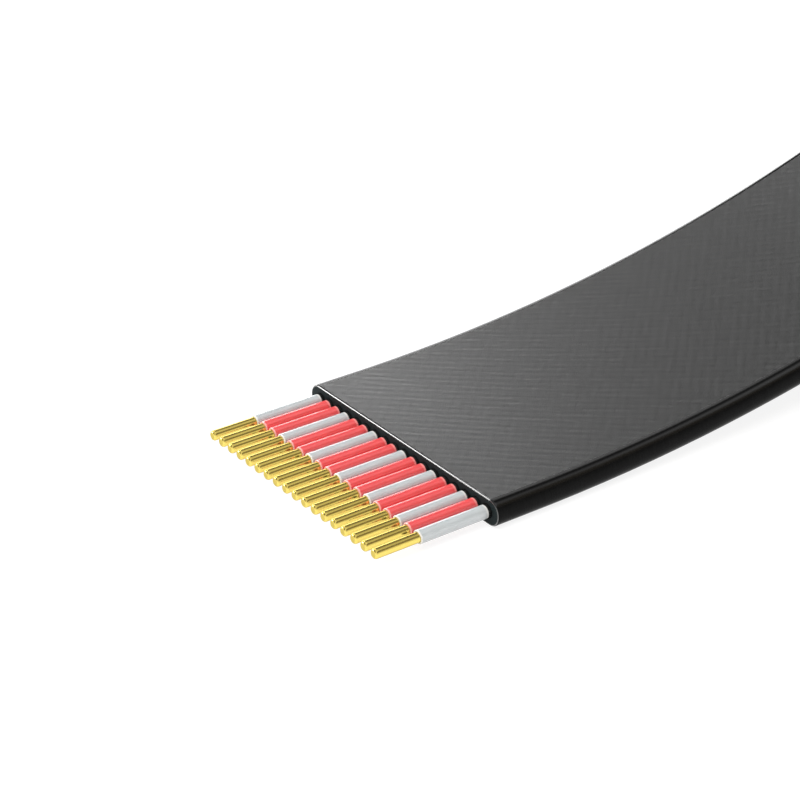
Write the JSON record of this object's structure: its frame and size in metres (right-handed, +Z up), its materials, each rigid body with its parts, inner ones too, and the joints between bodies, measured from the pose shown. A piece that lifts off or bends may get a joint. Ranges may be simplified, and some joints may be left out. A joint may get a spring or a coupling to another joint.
{
  "type": "card-edge extension cable",
  "caption": "Flat black extension cable with a row of red and white insulated wires: one end cut and stripped to bare gold-coloured conductors, the other in a one-lane card-edge plug.",
  "frame": {"origin": "middle of the flat stretch at the cut end of the jacket, on the surface that the cable lies on", "axes": "+X along the cable from the stripped end towards the plug, +Y across the cable towards the first wire, +Z up"},
  "size_m": [0.1467, 0.0252, 0.0112],
  "materials": {
    "conductor": "bright gold-coloured solid wire, drawn along its length",
    "insulation_red": "satin coral-red wire insulation",
    "insulation_white": "satin cool white wire insulation",
    "jacket": "black flexible jacket, finely woven texture on its faces, glossier rounded sides",
    "board": "dark green circuit board, satin",
    "plating": "thin gold plating",
    "solder": "bright solder",
    "cover": "black moulded plastic, finely textured"
  },
  "bodies": {
    "root": {"core_01": "conductor", "core_02": "conductor", "core_03": "conductor", "core_04": "conductor", "core_05": "conductor", "core_06": "conductor", "core_07": "conductor", "core_08": "conductor", "core_09": "conductor", "core_10": "conductor", "core_11": "conductor", "core_12": "conductor", "core_13": "conductor", "core_14": "conductor", "core_15": "conductor", "core_16": "conductor", "core_17": "conductor", "core_18": "conductor", "insulation_01": "insulation_white", "insulation_02": "insulation_red", "insulation_03": "insulation_red", "insulation_04": "insulation_white", "insulation_05": "insulation_red", "insulation_06": "insulation_red", "insulation_07": "insulation_white", "insulation_08": "insulation_red", "insulation_09": "insulation_red", "insulation_10": "insulation_white", "insulation_11": "insulation_red", "insulation_12": "insulation_red", "insulation_13": "insulation_white", "insulation_14": "insulation_red", "insulation_15": "insulation_red", "insulation_16": "insulation_white", "insulation_17": "insulation_red", "insulation_18": "insulation_white", "jacket": "jacket", "plug_board": "board", "upper_contacts": "plating", "lower_contacts": "plating", "solder_pads": "plating", "solder_joints": "solder", "lower_cover": "cover", "upper_cover": "cover"}
  },
  "joints": []
}
